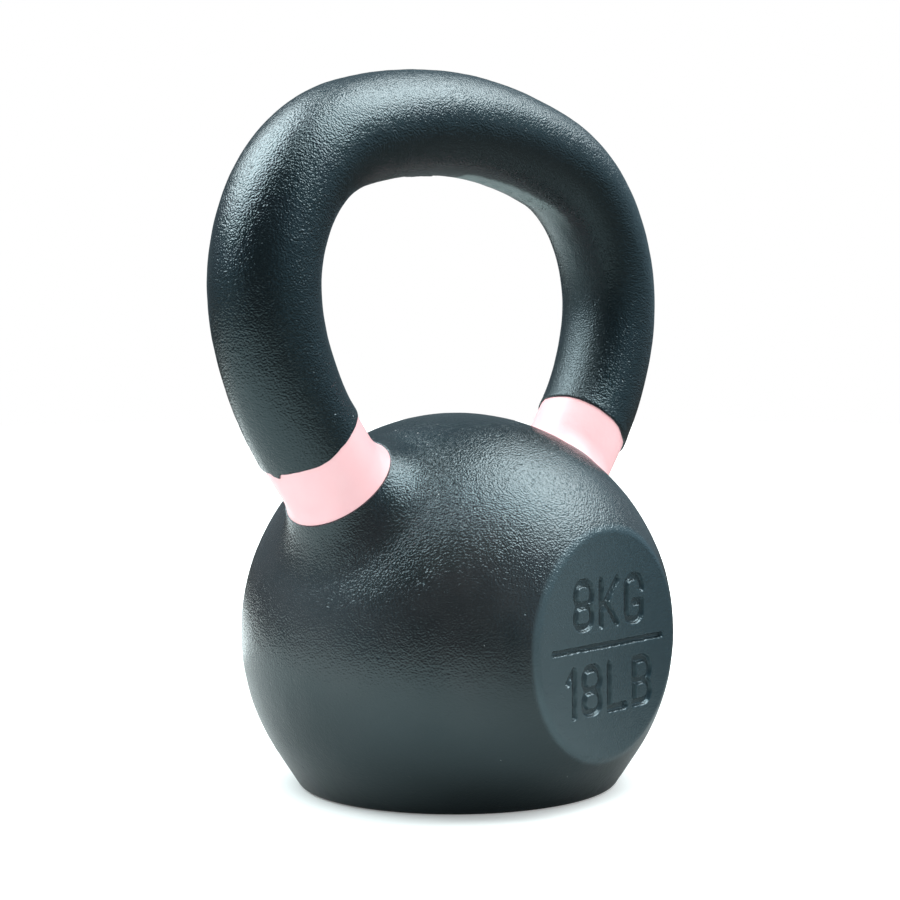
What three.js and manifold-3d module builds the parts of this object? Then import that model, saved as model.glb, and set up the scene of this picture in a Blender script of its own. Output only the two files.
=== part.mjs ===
// An 8 kg cast iron kettlebell: a round bell with a flat face front and back, a bent handle
// loop seated on two necks of the bell, and a coloured band round the foot of each horn.
//
// Millimetres, +Z up. The origin is the middle of the base, on the floor. The handle loop lies
// in the XZ plane, and the face with the weight mark looks along -Y.
import * as THREE from "three";
import { LoftGeometry } from "three/addons/geometries/LoftGeometry.js";
import { mergeVertices } from "three/addons/utils/BufferGeometryUtils.js";
import Module from "manifold-3d";

const { degToRad } = THREE.MathUtils;
const QUARTER_TURN = Math.PI / 2;

// Bell
const BELL_RADIUS = 61.5;
const BELL_CENTRE_HEIGHT = 43.5; // above the floor, so the sphere is cut flat at the base
const FACE_OFFSET = 53.5; // from the middle plane to the front and to the back face
const FACE_EDGE_ROUND = 2.5;
const FOOT_FLARE = 0.9; // how far the foot ring stands out past the sphere
const FOOT_EDGE_ROUND = 2.5;

// Handle: half of the loop is three arcs, from the middle of the grip down to the straight shank
const GRIP_RADIUS = 14.5;
const GRIP_BEND = { radius: 145, turn: degToRad(17.6) };
const CORNER_BEND = { radius: 44, turn: degToRad(86.2) };
const HORN_BEND = { radius: 71.5, turn: degToRad(25.4) };
const SHANK_LENGTH = 20; // straight, from the bend down to the bell's sphere
const HORN_FILLET = 11; // blends each horn into the bell

// Colour bands, each round the straight shank of its horn
const BAND_WIDTH = 16.4; // along the horn's axis, from the bend to the band's lower edge
const BAND_THICKNESS = 1;
const BAND_INSET = 0.4; // a band lies this far below the black coat round it

// Seat of the handle: a cone on each shank in a socket of the neck, hidden under the band
const CLEARANCE = 0.3; // between touching pieces
const NECK_WALL = 3.6; // round the foot of the cone
const SEAT_LENGTH = 4.5;
const SEAT_SLOPE = degToRad(45); // more than the shank's lean, so that the loop drops on from above

// Weight mark, sunk into the front face
const MARK_HEIGHT = 14; // of the letters and figures
const MARK_LETTER_WIDTH = 9.4;
const MARK_ONE_WIDTH = 5;
const MARK_BOWL_RADIUS = 2.7;
const MARK_STROKE = 2.2;
const MARK_DEPTH = 1;
const MARK_LETTER_GAP = 2;
const MARK_ROW_GAP = 4.4; // from the bell's centre height to the nearer edge of each row
const MARK_DIVIDER_LENGTH = 49;
const MARK_DIVIDER_STROKE = 1.6;

// Fineness of the facets
const BELL_SIDES = 52;
const BELL_ARC_STEP = degToRad(7);
const EDGE_ARC_STEP = degToRad(18);
const HORN_SIDES = 28;
const FILLET_STEPS = 5;
const LETTER_ARC_STEP = degToRad(30);
const LOOP_STEP = 5; // along the centreline

// Sizes that follow from those above
const BELL_CENTRE = new THREE.Vector3(0, 0, BELL_CENTRE_HEIGHT);
const SEAM_DISTANCE = BAND_WIDTH / 2; // from the bend to where the handle meets the neck
const CORE_INSET = BAND_INSET + BAND_THICKNESS + CLEARANCE; // of the iron under a band
const CORE_RADIUS = GRIP_RADIUS - CORE_INSET;
const CUT_MARGIN = 2; // a cutter stands this far past what it cuts
const TANGENT_DIP = 0.05; // a round runs this far under the surface it joins, for a clean cut
const SAME_POINT = 1e-3;

const IRON_BLACK = new THREE.MeshStandardMaterial({ color: 0x2a3033, roughness: 0.5, metalness: 0.2 });
const BAND_PINK = new THREE.MeshStandardMaterial({ color: 0xffccd0, roughness: 0.35, metalness: 0 });

const wasm = await Module();
wasm.setup();

// ---------------------------------------------------------------- helpers

function solidFrom(geometry) {
  const bare = new THREE.BufferGeometry();
  bare.setAttribute("position", geometry.getAttribute("position").clone());
  bare.setIndex(geometry.index);
  const merged = mergeVertices(bare);
  return new wasm.Manifold(
    new wasm.Mesh({
      numProp: 3,
      vertProperties: merged.getAttribute("position").array,
      triVerts: new Uint32Array(merged.index.array),
    }),
  );
}

function meshFrom(solid, name, material) {
  const { vertProperties, triVerts } = solid.getMesh();
  const geometry = new THREE.BufferGeometry();
  geometry.setAttribute("position", new THREE.BufferAttribute(vertProperties, 3));
  geometry.setIndex(new THREE.BufferAttribute(triVerts, 1));
  geometry.computeVertexNormals();
  const mesh = new THREE.Mesh(geometry, material);
  mesh.name = name;
  return mesh;
}

function points(...pairs) {
  return pairs.map(([x, y]) => new THREE.Vector2(x, y));
}

// Points on an arc round (x, y), between two angles in radians.
function arc(x, y, radius, from, to, step) {
  const count = Math.max(1, Math.ceil(Math.abs(to - from) / step));
  return Array.from({ length: count + 1 }, (_, i) => {
    const angle = from + ((to - from) * i) / count;
    return new THREE.Vector2(x + radius * Math.cos(angle), y + radius * Math.sin(angle));
  });
}

// A body of revolution round +Z, from a profile of (radius, height) points that runs upwards.
function turned(profile, sides) {
  return new THREE.LatheGeometry(profile, sides).rotateX(QUARTER_TURN);
}

// ---------------------------------------------------------------- bell

// A sphere cut flat at the floor. Its foot ring is rounded, and meets it in a tangent cone.
function bellBody() {
  const ringHeight = FOOT_EDGE_ROUND;
  const rise = BELL_CENTRE_HEIGHT - ringHeight;
  const reach = BELL_RADIUS - FOOT_EDGE_ROUND + FOOT_FLARE;
  const ringRadius = Math.sqrt(reach ** 2 - rise ** 2);
  const towardsCentre = Math.atan2(rise, -ringRadius);
  const tangent = towardsCentre - Math.acos((FOOT_EDGE_ROUND - BELL_RADIUS) / reach);
  const nearTop = QUARTER_TURN - BELL_ARC_STEP;
  return solidFrom(
    turned(
      [
        new THREE.Vector2(0, 0),
        ...arc(ringRadius, ringHeight, FOOT_EDGE_ROUND, -QUARTER_TURN, tangent, EDGE_ARC_STEP),
        ...arc(0, BELL_CENTRE_HEIGHT, BELL_RADIUS, tangent, nearTop, BELL_ARC_STEP),
        new THREE.Vector2(0, BELL_CENTRE_HEIGHT + BELL_RADIUS),
      ],
      BELL_SIDES,
    ),
  );
}

// The space between the two flat faces, with the round where each of them meets the sphere.
function faceEnvelope() {
  const height = FACE_OFFSET - FACE_EDGE_ROUND;
  const radius = Math.sqrt((BELL_RADIUS - FACE_EDGE_ROUND) ** 2 - height ** 2) - TANGENT_DIP;
  const tangent = Math.atan2(height, radius);
  const edge = arc(radius, height, FACE_EDGE_ROUND, QUARTER_TURN, tangent, EDGE_ARC_STEP).reverse();
  const apex = new THREE.Vector2(edge[0].x + edge[0].y * Math.tan(tangent), 0);
  const front = [...edge, new THREE.Vector2(0, FACE_OFFSET)];
  const back = front.map((point) => new THREE.Vector2(point.x, -point.y)).reverse();
  const body = turned([...back, apex, ...front], BELL_SIDES);
  return solidFrom(body.rotateX(QUARTER_TURN).translate(0, 0, BELL_CENTRE_HEIGHT));
}

// ---------------------------------------------------------------- handle line

// An arc in the XZ plane. Its angles are measured from +Z towards +X.
class Bend extends THREE.Curve {
  constructor(centre, radius, from, to) {
    super();
    Object.assign(this, { centre, radius, from, to });
  }

  getPoint(t, target = new THREE.Vector3()) {
    const angle = THREE.MathUtils.lerp(this.from, this.to, t);
    const outward = new THREE.Vector3(Math.sin(angle), 0, Math.cos(angle));
    return target.copy(this.centre).addScaledVector(outward, this.radius);
  }
}

// The right half of the loop, as bends, with the middle of the grip at the origin.
function halfLoop() {
  const bends = [];
  const end = new THREE.Vector3();
  let angle = 0;
  for (const { radius, turn } of [GRIP_BEND, CORNER_BEND, HORN_BEND]) {
    const outward = new THREE.Vector3(Math.sin(angle), 0, Math.cos(angle));
    const centre = end.clone().addScaledVector(outward, -radius);
    bends.push(new Bend(centre, radius, angle, angle + turn));
    angle += turn;
    bends.at(-1).getPoint(1, end);
  }
  return { bends, end, axis: new THREE.Vector3(Math.cos(angle), 0, -Math.sin(angle)) };
}

// How high the loop stands, so that both shanks reach the bell's sphere after their length.
function loopHeight({ end, axis }) {
  const foot = end.clone().addScaledVector(axis, SHANK_LENGTH);
  return BELL_CENTRE_HEIGHT + Math.sqrt(BELL_RADIUS ** 2 - foot.x ** 2) - foot.z;
}

const HALF_LOOP = halfLoop();
const GRIP_HEIGHT = loopHeight(HALF_LOOP); // of the grip's centreline at its highest point

function mirroredBend({ centre, radius, from, to }) {
  return new Bend(new THREE.Vector3(-centre.x, centre.y, centre.z), radius, -to, -from);
}

// The bent part of the loop, from the left shank over the grip to the right shank.
function bentLoop() {
  const path = new THREE.CurvePath();
  path.curves.push(...HALF_LOOP.bends.map(mirroredBend).reverse(), ...HALF_LOOP.bends);
  const section = new THREE.Shape().absarc(0, 0, GRIP_RADIUS, 0, 2 * Math.PI);
  const loop = new THREE.ExtrudeGeometry(section, {
    extrudePath: path,
    steps: Math.ceil(path.getLength() / LOOP_STEP),
    curveSegments: HORN_SIDES / 2, // a full circle has twice as many
  });
  return solidFrom(loop.translate(0, 0, GRIP_HEIGHT));
}

// Where the bend ends and the straight shank begins: side 1 is +X, side -1 is -X. The frame's
// local Z axis runs down the shank into the bell.
function shankFrame(side) {
  const origin = new THREE.Vector3(side * HALF_LOOP.end.x, 0, HALF_LOOP.end.z + GRIP_HEIGHT);
  const axis = new THREE.Vector3(side * HALF_LOOP.axis.x, 0, HALF_LOOP.axis.z);
  const along = new THREE.Vector3(0, 1, 0);
  const across = new THREE.Vector3().crossVectors(along, axis);
  const matrix = new THREE.Matrix4().makeBasis(across, along, axis).setPosition(origin);
  return { origin, axis, across, along, matrix };
}

// A body of revolution on a shank, from a profile of (radius, distance down the shank) points.
function onShank(frame, profile) {
  return solidFrom(turned(points(...profile), HORN_SIDES).applyMatrix4(frame.matrix));
}

// Where the centre of a ball that rolls in the corner between a horn and the bell lies, on one
// side of the horn.
function rollingBall(frame, outward) {
  const ball = frame.origin.clone().addScaledVector(outward, GRIP_RADIUS + HORN_FILLET);
  const fromBell = ball.clone().sub(BELL_CENTRE);
  const down = fromBell.dot(frame.axis);
  const reach = BELL_RADIUS + HORN_FILLET - TANGENT_DIP;
  const travel = -down - Math.sqrt(down ** 2 - fromBell.lengthSq() + reach ** 2);
  return ball.addScaledVector(frame.axis, travel);
}

// One side of a horn's foot, shrunk by an inset: from the bend down to the fillet, along the arc
// that the rolling ball leaves, and on into the bell.
function footLine(frame, outward, inset) {
  const ball = rollingBall(frame, outward);
  const ballRadius = HORN_FILLET + inset;
  const bellward = ball.clone().sub(BELL_CENTRE).normalize();
  const sweep = outward.angleTo(bellward);
  const line = [frame.origin.clone().addScaledVector(outward, GRIP_RADIUS - inset)];
  for (let k = 0; k <= FILLET_STEPS; k += 1) {
    const share = (sweep * k) / FILLET_STEPS;
    const radial = outward.clone().multiplyScalar(Math.sin(sweep - share));
    radial.addScaledVector(bellward, Math.sin(share)).divideScalar(Math.sin(sweep));
    line.push(ball.clone().addScaledVector(radial, -ballRadius));
  }
  line.push(line.at(-1).clone().addScaledVector(bellward, -ballRadius));
  return line;
}

// The foot of a horn with its fillet, all of it shrunk by an inset.
function hornFoot(frame, inset) {
  const lines = Array.from({ length: HORN_SIDES }, (_, i) => {
    const angle = (2 * Math.PI * i) / HORN_SIDES;
    const outward = frame.across.clone().multiplyScalar(Math.cos(angle));
    return footLine(frame, outward.addScaledVector(frame.along, Math.sin(angle)), inset);
  });
  const rings = lines[0].map((_, k) => lines.map((line) => line[k]));
  return solidFrom(new LoftGeometry(rings, { capStart: true, capEnd: true }));
}

// ---------------------------------------------------------------- seat of the handle

const SEAT_FOOT_RADIUS = CORE_RADIUS - NECK_WALL;
const OUTSIDE_RADIUS = GRIP_RADIUS + HORN_FILLET; // past everything on a shank

// All of a horn's foot that lies further from the bend than a distance down the shank.
function pastDistance(frame, distance) {
  return onShank(frame, [
    [0, distance],
    [OUTSIDE_RADIUS, distance],
    [OUTSIDE_RADIUS, SHANK_LENGTH + OUTSIDE_RADIUS],
    [0, SHANK_LENGTH + OUTSIDE_RADIUS],
  ]);
}

// The end of the handle: a core under the band, down to the seam, and the cone beyond it.
function handleEnd(frame) {
  const tip = SEAM_DISTANCE + SEAT_LENGTH;
  return onShank(frame, [
    [0, -CUT_MARGIN],
    [CORE_RADIUS, -CUT_MARGIN],
    [CORE_RADIUS, SEAM_DISTANCE],
    [SEAT_FOOT_RADIUS, SEAM_DISTANCE],
    [SEAT_FOOT_RADIUS - SEAT_LENGTH * Math.tan(SEAT_SLOPE), tip],
    [0, tip],
  ]);
}

// What the neck leaves free: all above the seam, and a socket that stands off the cone.
function neckCutter(frame) {
  const mouth = SEAM_DISTANCE + CLEARANCE;
  const floor = mouth + SEAT_LENGTH;
  const play = CLEARANCE / Math.cos(SEAT_SLOPE) - CLEARANCE * Math.tan(SEAT_SLOPE);
  const mouthRadius = SEAT_FOOT_RADIUS + play;
  return onShank(frame, [
    [0, -CUT_MARGIN],
    [OUTSIDE_RADIUS, -CUT_MARGIN],
    [OUTSIDE_RADIUS, mouth],
    [mouthRadius, mouth],
    [mouthRadius - SEAT_LENGTH * Math.tan(SEAT_SLOPE), floor],
    [0, floor],
  ]);
}

// ---------------------------------------------------------------- weight mark

const MARK_MIDDLE = MARK_HEIGHT / 2;
const STROKE_LEFT = MARK_STROKE / 2; // the outermost centrelines in a letter's box
const STROKE_RIGHT = MARK_LETTER_WIDTH - MARK_STROKE / 2;
const STROKE_TOP = MARK_HEIGHT - MARK_STROKE / 2;
const SPUR_HEIGHT = MARK_MIDDLE - MARK_STROKE / 2; // of the short bar in the G
const STROKE_BOTTOM = MARK_STROKE / 2;

// A rectangle as wide as a letter, with one radius for its left and one for its right corners. It
// runs anticlockwise from its right-hand side.
function bowl(bottom, top, leftLimit, rightLimit) {
  const room = Math.min(top - bottom, STROKE_RIGHT - STROKE_LEFT) / 2;
  const [leftRadius, rightRadius] = [leftLimit, rightLimit].map((limit) => Math.min(limit, room));
  const corner = (x, y, radius, from) => arc(x, y, radius, from, from + QUARTER_TURN, LETTER_ARC_STEP);
  return [
    ...corner(STROKE_RIGHT - rightRadius, top - rightRadius, rightRadius, 0),
    ...corner(STROKE_LEFT + leftRadius, top - leftRadius, leftRadius, QUARTER_TURN),
    ...corner(STROKE_LEFT + leftRadius, bottom + leftRadius, leftRadius, 2 * QUARTER_TURN),
    ...corner(STROKE_RIGHT - rightRadius, bottom + rightRadius, rightRadius, 3 * QUARTER_TURN),
  ];
}

function twoBowls(leftRadius) {
  return [
    bowl(STROKE_BOTTOM, MARK_MIDDLE, leftRadius, MARK_BOWL_RADIUS),
    bowl(MARK_MIDDLE, STROKE_TOP, leftRadius, MARK_BOWL_RADIUS),
  ];
}

// Each letter or figure, as the centrelines of its strokes in a box that starts at the origin.
const LETTERS = {
  8: { width: MARK_LETTER_WIDTH, closed: twoBowls(MARK_BOWL_RADIUS), open: [] },
  B: { width: MARK_LETTER_WIDTH, closed: twoBowls(0), open: [] },
  1: {
    width: MARK_ONE_WIDTH,
    closed: [],
    open: [
      points([MARK_ONE_WIDTH - STROKE_LEFT, 0], [MARK_ONE_WIDTH - STROKE_LEFT, MARK_HEIGHT]),
      points([0, STROKE_TOP - MARK_BOWL_RADIUS], [MARK_ONE_WIDTH - STROKE_LEFT, STROKE_TOP]),
    ],
  },
  K: {
    width: MARK_LETTER_WIDTH,
    closed: [],
    open: [
      points([STROKE_LEFT, 0], [STROKE_LEFT, MARK_HEIGHT]),
      points([STROKE_LEFT, MARK_MIDDLE - MARK_STROKE], [STROKE_RIGHT, MARK_HEIGHT]),
      points([STROKE_LEFT + MARK_STROKE, MARK_MIDDLE], [STROKE_RIGHT, 0]),
    ],
  },
  L: {
    width: MARK_LETTER_WIDTH,
    closed: [],
    open: [
      points(
        [STROKE_LEFT, MARK_HEIGHT],
        [STROKE_LEFT, STROKE_BOTTOM],
        [MARK_LETTER_WIDTH, STROKE_BOTTOM],
      ),
    ],
  },
  G: {
    width: MARK_LETTER_WIDTH,
    closed: [],
    open: [
      [
        ...points([STROKE_RIGHT, STROKE_TOP - MARK_BOWL_RADIUS - MARK_STROKE / 4]),
        ...bowl(STROKE_BOTTOM, STROKE_TOP, MARK_BOWL_RADIUS, MARK_BOWL_RADIUS),
        ...points([STROKE_RIGHT, SPUR_HEIGHT], [MARK_LETTER_WIDTH / 2, SPUR_HEIGHT]),
      ],
    ],
  },
};

// The line that runs beside a stroke's centreline, at an offset to its left.
function beside(centreline, offset, closed) {
  const line = centreline.filter((p, i) => i === 0 || p.distanceTo(centreline[i - 1]) > SAME_POINT);
  const direction = (from, to) => line.at(to % line.length).clone().sub(line.at(from)).normalize();
  return line.map((point, i) => {
    const isFirst = i === 0 && !closed;
    const isLast = i === line.length - 1 && !closed;
    const arriving = isFirst ? direction(0, 1) : direction(i - 1, i);
    const leaving = isLast ? arriving : direction(i, i + 1);
    const normal = new THREE.Vector2(-arriving.y, arriving.x);
    const mitre = new THREE.Vector2(-leaving.y, leaving.x).add(normal).normalize();
    return point.clone().addScaledVector(mitre, offset / mitre.dot(normal));
  });
}

// A cutter that sinks one stroke into the front face. Its centreline is given in the face's plane.
function strokeCutter(centreline, width, closed) {
  const left = beside(centreline, width / 2, closed);
  const right = beside(centreline, -width / 2, closed);
  const shape = new THREE.Shape(closed ? right : [...left, ...right.reverse()]);
  if (closed) shape.holes.push(new THREE.Path(left));
  const depth = MARK_DEPTH + CUT_MARGIN;
  const prism = new THREE.ExtrudeGeometry(shape, { depth, bevelEnabled: false });
  return solidFrom(prism.rotateX(QUARTER_TURN).translate(0, MARK_DEPTH - FACE_OFFSET, 0));
}

function rowCutters(text, bottom) {
  const letters = Array.from(text, (character) => LETTERS[character]);
  const width = letters.reduce((sum, letter) => sum + letter.width + MARK_LETTER_GAP, -MARK_LETTER_GAP);
  const corner = new THREE.Vector2(-width / 2, bottom);
  return letters.flatMap((letter) => {
    const placed = (stroke) => stroke.map((point) => point.clone().add(corner));
    const cutters = [
      ...letter.closed.map((stroke) => strokeCutter(placed(stroke), MARK_STROKE, true)),
      ...letter.open.map((stroke) => strokeCutter(placed(stroke), MARK_STROKE, false)),
    ];
    corner.x += letter.width + MARK_LETTER_GAP;
    return cutters;
  });
}

function markCutters() {
  const divider = points(
    [-MARK_DIVIDER_LENGTH / 2, BELL_CENTRE_HEIGHT],
    [MARK_DIVIDER_LENGTH / 2, BELL_CENTRE_HEIGHT],
  );
  return [
    ...rowCutters("8KG", BELL_CENTRE_HEIGHT + MARK_ROW_GAP),
    strokeCutter(divider, MARK_DIVIDER_STROKE, false),
    ...rowCutters("18LB", BELL_CENTRE_HEIGHT - MARK_ROW_GAP - MARK_HEIGHT),
  ];
}

// ---------------------------------------------------------------- the pieces

const SHANKS = { left: shankFrame(-1), right: shankFrame(1) };

// The bell, with the fillets below the bands, a neck for each horn, and the weight mark.
function bell() {
  let body = bellBody().intersect(faceEnvelope());
  for (const frame of Object.values(SHANKS)) {
    const underBand = hornFoot(frame, 0).intersect(pastDistance(frame, BAND_WIDTH));
    body = body.add(underBand).add(hornFoot(frame, CORE_INSET)).subtract(neckCutter(frame));
  }
  return markCutters().reduce((solid, cutter) => solid.subtract(cutter), body);
}

function handle() {
  return Object.values(SHANKS).reduce((solid, frame) => solid.add(handleEnd(frame)), bentLoop());
}

// A sleeve that follows the horn and its fillet, from just under the bend to just above the bell.
function colourBand(frame) {
  const aboveBand = onShank(frame, [
    [0, -CUT_MARGIN],
    [OUTSIDE_RADIUS, -CUT_MARGIN],
    [OUTSIDE_RADIUS, CLEARANCE],
    [0, CLEARANCE],
  ]);
  return hornFoot(frame, BAND_INSET)
    .subtract(hornFoot(frame, BAND_INSET + BAND_THICKNESS))
    .subtract(pastDistance(frame, BAND_WIDTH - CLEARANCE))
    .subtract(aboveBand);
}

const kettlebell = new THREE.Group();
kettlebell.add(
  meshFrom(bell(), "bell", IRON_BLACK),
  meshFrom(handle(), "handle", IRON_BLACK),
  meshFrom(colourBand(SHANKS.left), "left_colour_band", BAND_PINK),
  meshFrom(colourBand(SHANKS.right), "right_colour_band", BAND_PINK),
);

export default kettlebell;
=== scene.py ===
# An 8 kg cast iron kettlebell on a white studio floor. Its four pieces get fine surfaces: the bell
# and the handle in textured black powder coat, and the two bands in pale pink paint. Lengths are in
# millimetres, and are scaled once, where a mesh or a material is made. The studio is in metres.
# Arrays of points have the shape (count, 3). Side -1 is the left horn and side 1 is the right one.
import math

import bmesh
import bpy
import numpy as np
from mathutils import Matrix, Vector


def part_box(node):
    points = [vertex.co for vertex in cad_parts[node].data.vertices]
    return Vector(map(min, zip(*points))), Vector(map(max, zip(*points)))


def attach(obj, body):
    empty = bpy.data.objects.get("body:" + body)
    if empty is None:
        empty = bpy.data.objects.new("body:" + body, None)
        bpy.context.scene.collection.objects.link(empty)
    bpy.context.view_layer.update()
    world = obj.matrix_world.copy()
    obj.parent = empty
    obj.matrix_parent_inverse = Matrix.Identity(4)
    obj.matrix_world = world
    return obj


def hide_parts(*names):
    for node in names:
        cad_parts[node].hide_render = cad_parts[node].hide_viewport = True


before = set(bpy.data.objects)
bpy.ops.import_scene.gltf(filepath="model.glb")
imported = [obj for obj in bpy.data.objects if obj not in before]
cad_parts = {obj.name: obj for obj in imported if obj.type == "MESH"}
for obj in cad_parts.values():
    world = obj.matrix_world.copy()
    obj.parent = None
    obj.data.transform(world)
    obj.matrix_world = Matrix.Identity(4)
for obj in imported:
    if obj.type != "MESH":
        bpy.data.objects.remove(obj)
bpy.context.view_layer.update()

MM = 0.001

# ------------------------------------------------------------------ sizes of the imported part

bell_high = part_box("bell")[1] / MM
handle_low, handle_high = (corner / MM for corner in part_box("handle"))

BELL_RADIUS = 61.5
BELL_CENTRE = np.array([0.0, 0.0, 43.5])
FACE_OFFSET = bell_high.y
FACE_EDGE_ROUND = 2.5
FOOT_FLARE = 0.9
FOOT_EDGE_ROUND = 2.5

GRIP_RADIUS = (handle_high.y - handle_low.y) / 2
GRIP_HEIGHT = handle_high.z - GRIP_RADIUS
BENDS = [  # radius and turn of each bend of half the loop, from the middle of the grip
    (145.0, math.radians(17.6)),
    (44.0, math.radians(86.2)),
    (71.5, math.radians(25.4)),
]
HORN_FILLET = 11.0

SHANK_LENGTH = 20.0
BAND_WIDTH = 16.3
BAND_TILT = 0.053  # the lower edge lies this much further down on the outside of its horn
BAND_THICKNESS = 1.0
BAND_INSET = 0.4

CLEARANCE = 0.3
CORE_INSET = BAND_INSET + BAND_THICKNESS + CLEARANCE
CORE_RADIUS = GRIP_RADIUS - CORE_INSET
SEAM_DISTANCE = BAND_WIDTH / 2
SEAT_SHOULDER = 3.6
SEAT_FOOT_RADIUS = CORE_RADIUS - SEAT_SHOULDER
SEAT_LENGTH = 4.5
SEAT_TIP_RADIUS = SEAT_FOOT_RADIUS - SEAT_LENGTH
SEAT_PLAY = CLEARANCE * (math.sqrt(2) - 1)  # added to a socket's radii, for the clearance all round

MARK_HEIGHT = 14.0
MARK_LETTER_WIDTH = 9.4
MARK_ONE_WIDTH = 5.0
MARK_BOWL_RADIUS = 2.7
MARK_STROKE = 2.2
MARK_DEPTH = 1.0
MARK_LETTER_GAP = 2.0
MARK_ROW_GAP = 4.4
MARK_DIVIDER_LENGTH = 49.0
MARK_DIVIDER_STROKE = 1.6
MARK_ROWS = ("8KG", "18LB")

# ------------------------------------------------------------------ finish of the surfaces

LIP_ROUND = 0.35  # of the coat where it ends above a band
LIP_SWELL = 0.12  # how far the coat swells out towards its end
LIP_RUN = 8.0  # the stretch of horn that follows the lip's ragged line
LIP_GAP = 0.07  # from the coat's end to the paint
LIP_WAVES = [(1.0, 5.0), (0.5, 1.6)]  # share and lump of the ragged line
LIP_RAGGED = 0.16
LIP_TILT = {-1: 0.5, 1: 1.9}  # how much higher the coat ends on the inside of each horn
COAT_RUNS = {  # turn and width in degrees, and length: where the coat ran down, or stopped short
    -1: [(-60, 20, 0.95), (1, 2.6, 1.5), (6, 2.0, 1.0)],
    1: [(-75, 12, 0.4), (150, 10, -0.5)],
}

CAST_WAVES = [(0.09, 16.0, 50), (0.05, 5.0, 20), (0.028, 2.2, 0)]  # height, lump and shift
PAINT_WAVES = [(0.04, 7.0), (0.015, 2.0)]  # height and lump
FOOT_FADE = (0.3, 2.5)  # heights between which the cast waves grow
BAND_FADE = (0, 2)  # distances past a band's lower edge between which they grow

FLASH_HEIGHT = 0.34  # of the ground-off flash inside the loop
FLASH_SPREAD = 0.5
FLASH_WANDER = (0.5, 6.0)  # reach and lump
FLASH_BREAK_WAVES = [(1.0, 3.0), (0.4, 1.1)]  # share and lump of the noise that breaks it up
FLASH_BREAKS = (-0.2, 0.5)
FLASH_FADE = (22, 45)  # distances from the middle plane between which it fades
FLASH_AT_SIDES = 0.25

STROKE_WANDER = 0.12  # how far the outlines of the mark's strokes wander
STROKE_WANDER_LUMP = 1.4
STROKE_WANDER_SHIFT = 9
STROKE_WALL = (-0.15, 0.45)  # a stroke's wall, from outside its outline to inside it
STROKE_LEAN = 0.12  # how much further the wall below a stroke reaches, outward and inward
STROKE_CORE = 0.1  # this near to its centreline, a stroke's lower side fades out

# ------------------------------------------------------------------ fineness of the meshes

SHARP_ANGLE = math.radians(40)
HANDLE_RING_STEP = 0.65
HANDLE_SIDES = 150
LIP_STEPS = 4
BAND_SIDES = 180
BAND_RINGS = 26
NECK_RINGS = 3
BELL_SUBDIVISIONS = 6
ARC_POINTS = 7
BISECTION_STEPS = 24

LEAST_RISE = 0.1  # directions that rise less than this towards a band's end pass it by
DETAIL_RISE = 0.2  # a horn's fillet stands out of the ball by more than this
RIM_REACH = 2.5
RIM_DEPTH = 3
FOOT_HEIGHT = 3
FOOT_INSIDE = 0.68  # share of the bell's radius, inside the foot's edge
MARK_MARGIN = 2
MARK_FACE_DEPTH = 0.5
MARK_ROWS_REACH = 22  # half the width of the two rows, with a margin
MARK_DIVIDER_REACH = 3
WALL_MIDDLE = 0.15  # how far inside its outline a stroke's wall has its middle
WALL_REACH = 0.55

# ------------------------------------------------------------------ noise and solving

SEED = 8
LATTICE_SIZE = 32
LATTICE = np.random.default_rng(SEED).random((LATTICE_SIZE, LATTICE_SIZE, LATTICE_SIZE))


def noise(points, lump):
    """Smooth noise from -1 to 1 at some points, with lumps of the given size."""
    place = points / lump
    cell = np.floor(place).astype(int)
    share = place - cell
    share = share * share * (3 - 2 * share)
    total = np.zeros(len(points))
    for corner in np.ndindex(2, 2, 2):
        weight = np.where(corner, share, 1 - share).prod(axis=1)
        index = (cell + corner) % LATTICE_SIZE
        total += weight * LATTICE[tuple(index.T)]
    return 2 * total - 1


def ramp(value, low, high):
    """0 at low, 1 at high, and smooth between them."""
    share = np.clip((value - low) / (high - low), 0, 1)
    return share * share * (3 - 2 * share)


def bisect(function, low, high):
    """Where an increasing function of each element passes zero, between two arrays."""
    for _ in range(BISECTION_STEPS):
        middle = (low + high) / 2
        above = function(middle) > 0
        high = np.where(above, middle, high)
        low = np.where(above, low, middle)
    return (low + high) / 2


# ------------------------------------------------------------------ the line of the handle


def trace_half_loop():
    """The bends of half the loop, as centres in (x, z), radii and angles from +Z, and their end."""
    bends = []
    end = np.array([0.0, GRIP_HEIGHT])
    angle = 0.0
    for radius, turn in BENDS:
        centre = end - radius * np.array([math.sin(angle), math.cos(angle)])
        bends.append((centre, radius, angle, angle + turn))
        angle += turn
        end = centre + radius * np.array([math.sin(angle), math.cos(angle)])
    return bends, end, angle


HALF_LOOP, BEND_END, SHANK_ANGLE = trace_half_loop()
BEND_LENGTH = sum(radius * turn for radius, turn in BENDS)
SHANK_AXIS = np.array([math.cos(SHANK_ANGLE), -math.sin(SHANK_ANGLE)])  # in (x, z), right side
OUTWARD = np.array([math.sin(SHANK_ANGLE), math.cos(SHANK_ANGLE)])  # square to it
BAND_END_NORMAL = SHANK_AXIS - BAND_TILT * OUTWARD


def folded(points):
    """Points as (x, z), with the left half laid over the right one."""
    return np.stack([np.abs(points[:, 0]), points[:, 2]], axis=1)


def past_band(points):
    """How far past the plane in which the nearer band ends some points lie."""
    return (folded(points) - BEND_END) @ BAND_END_NORMAL - BAND_WIDTH


def on_shank(points, side):
    """How far down a horn's shank some points lie, and how far outward from its line."""
    x = points[:, 0] * side - BEND_END[0]
    z = points[:, 2] - BEND_END[1]
    return x * SHANK_AXIS[0] + z * SHANK_AXIS[1], x * OUTWARD[0] + z * OUTWARD[1]


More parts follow.
